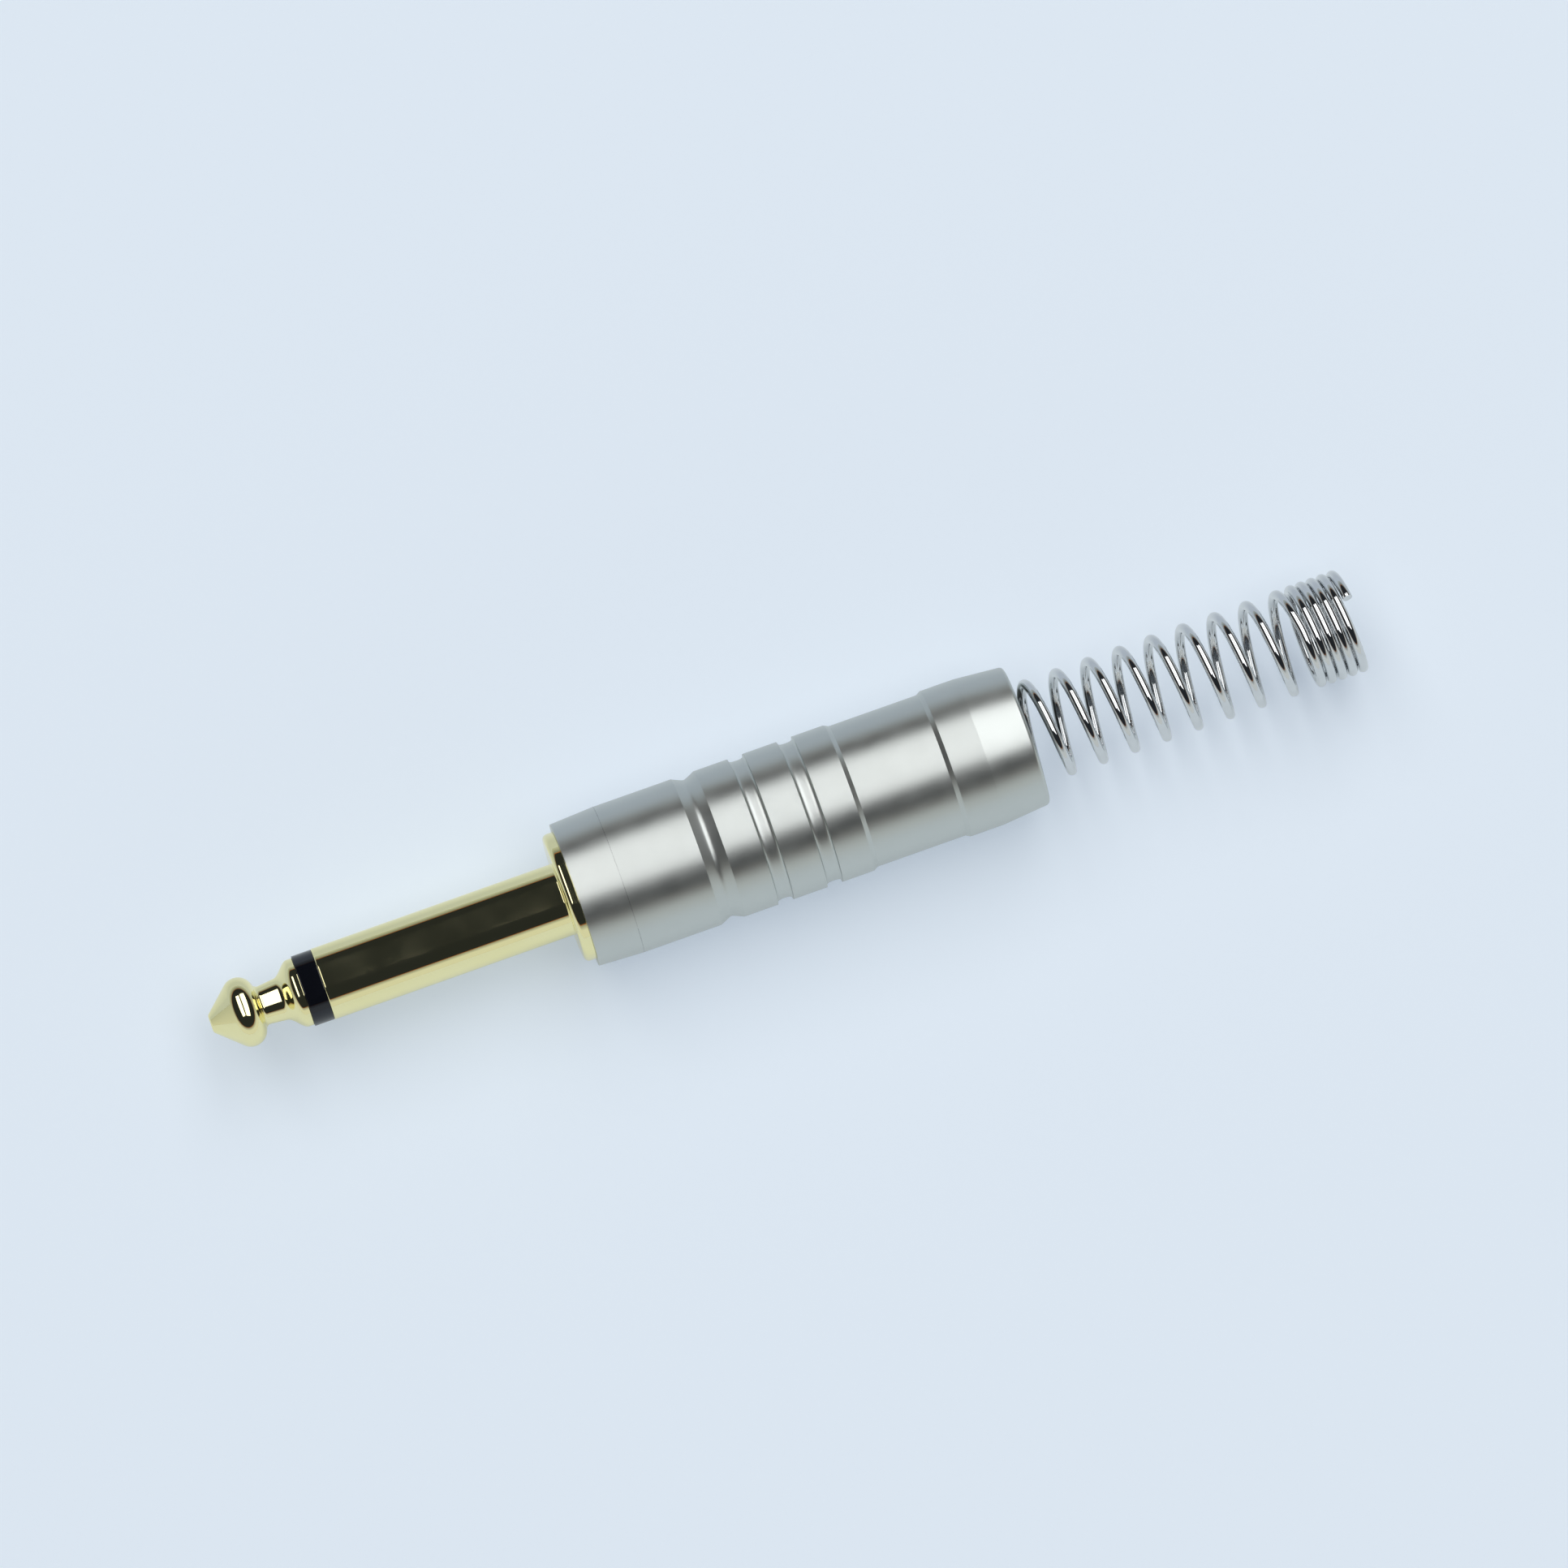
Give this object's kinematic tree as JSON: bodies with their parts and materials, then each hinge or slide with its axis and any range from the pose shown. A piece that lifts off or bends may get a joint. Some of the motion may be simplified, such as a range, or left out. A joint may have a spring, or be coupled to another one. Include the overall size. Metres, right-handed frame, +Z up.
{
  "type": "mono jack plug",
  "caption": "Mono 6.35 mm jack plug: gold-plated tip and sleeve, grooved satin screw-on shell with inner cable clamp, and a coil spring that guards the cable.",
  "frame": {"origin": "on the plug's axis at the collar's front face, where the sleeve contact begins", "axes": "+X along the axis towards the cable end, -X towards the tip, +Z up with the plug lying on its side"},
  "size_m": [0.1033, 0.013, 0.0131],
  "materials": {
    "gold_plate": "polished pale gold plate on turned brass",
    "satin_nickel": "fine satin pearl nickel plate on turned brass",
    "bright_wire": "bright plated round spring wire",
    "black_moulding": "glossy black moulding",
    "natural_plastic": "natural extruded tube",
    "liner_film": "smooth white insulating tube",
    "tinned_sheet": "tinned brass sheet, stamped and folded"
  },
  "bodies": {
    "plug": {"tip_contact": "gold_plate", "tip_ring": "black_moulding", "core_tube": "natural_plastic", "ground_sleeve": "gold_plate", "cable_clamp": "tinned_sheet", "rear_bush": "black_moulding", "tip_tag": "tinned_sheet"},
    "liner": {"insulating_sleeve": "liner_film"},
    "spring": {"tail_spring": "bright_wire"},
    "shell": {"shell": "satin_nickel"}
  },
  "joints": [
    {"name": "pull_off", "type": "slide", "parent": "plug", "child": "liner", "axis": [1, 0, 0], "range_m": [0, 0.03]},
    {"name": "thread_travel", "type": "slide", "parent": "liner", "child": "spring", "axis": [1, 0, 0], "range_m": [0, 0.0053]},
    {"name": "shell_turn", "type": "hinge", "parent": "spring", "child": "shell", "pos_m": [0.004, 0, 0], "axis": [1, 0, 0], "range_deg": [0, 2520]}
  ],
  "couplings": [
    {"joint": "thread_travel", "follows": "shell_turn", "m_per_rad": 0.00011937}
  ]
}
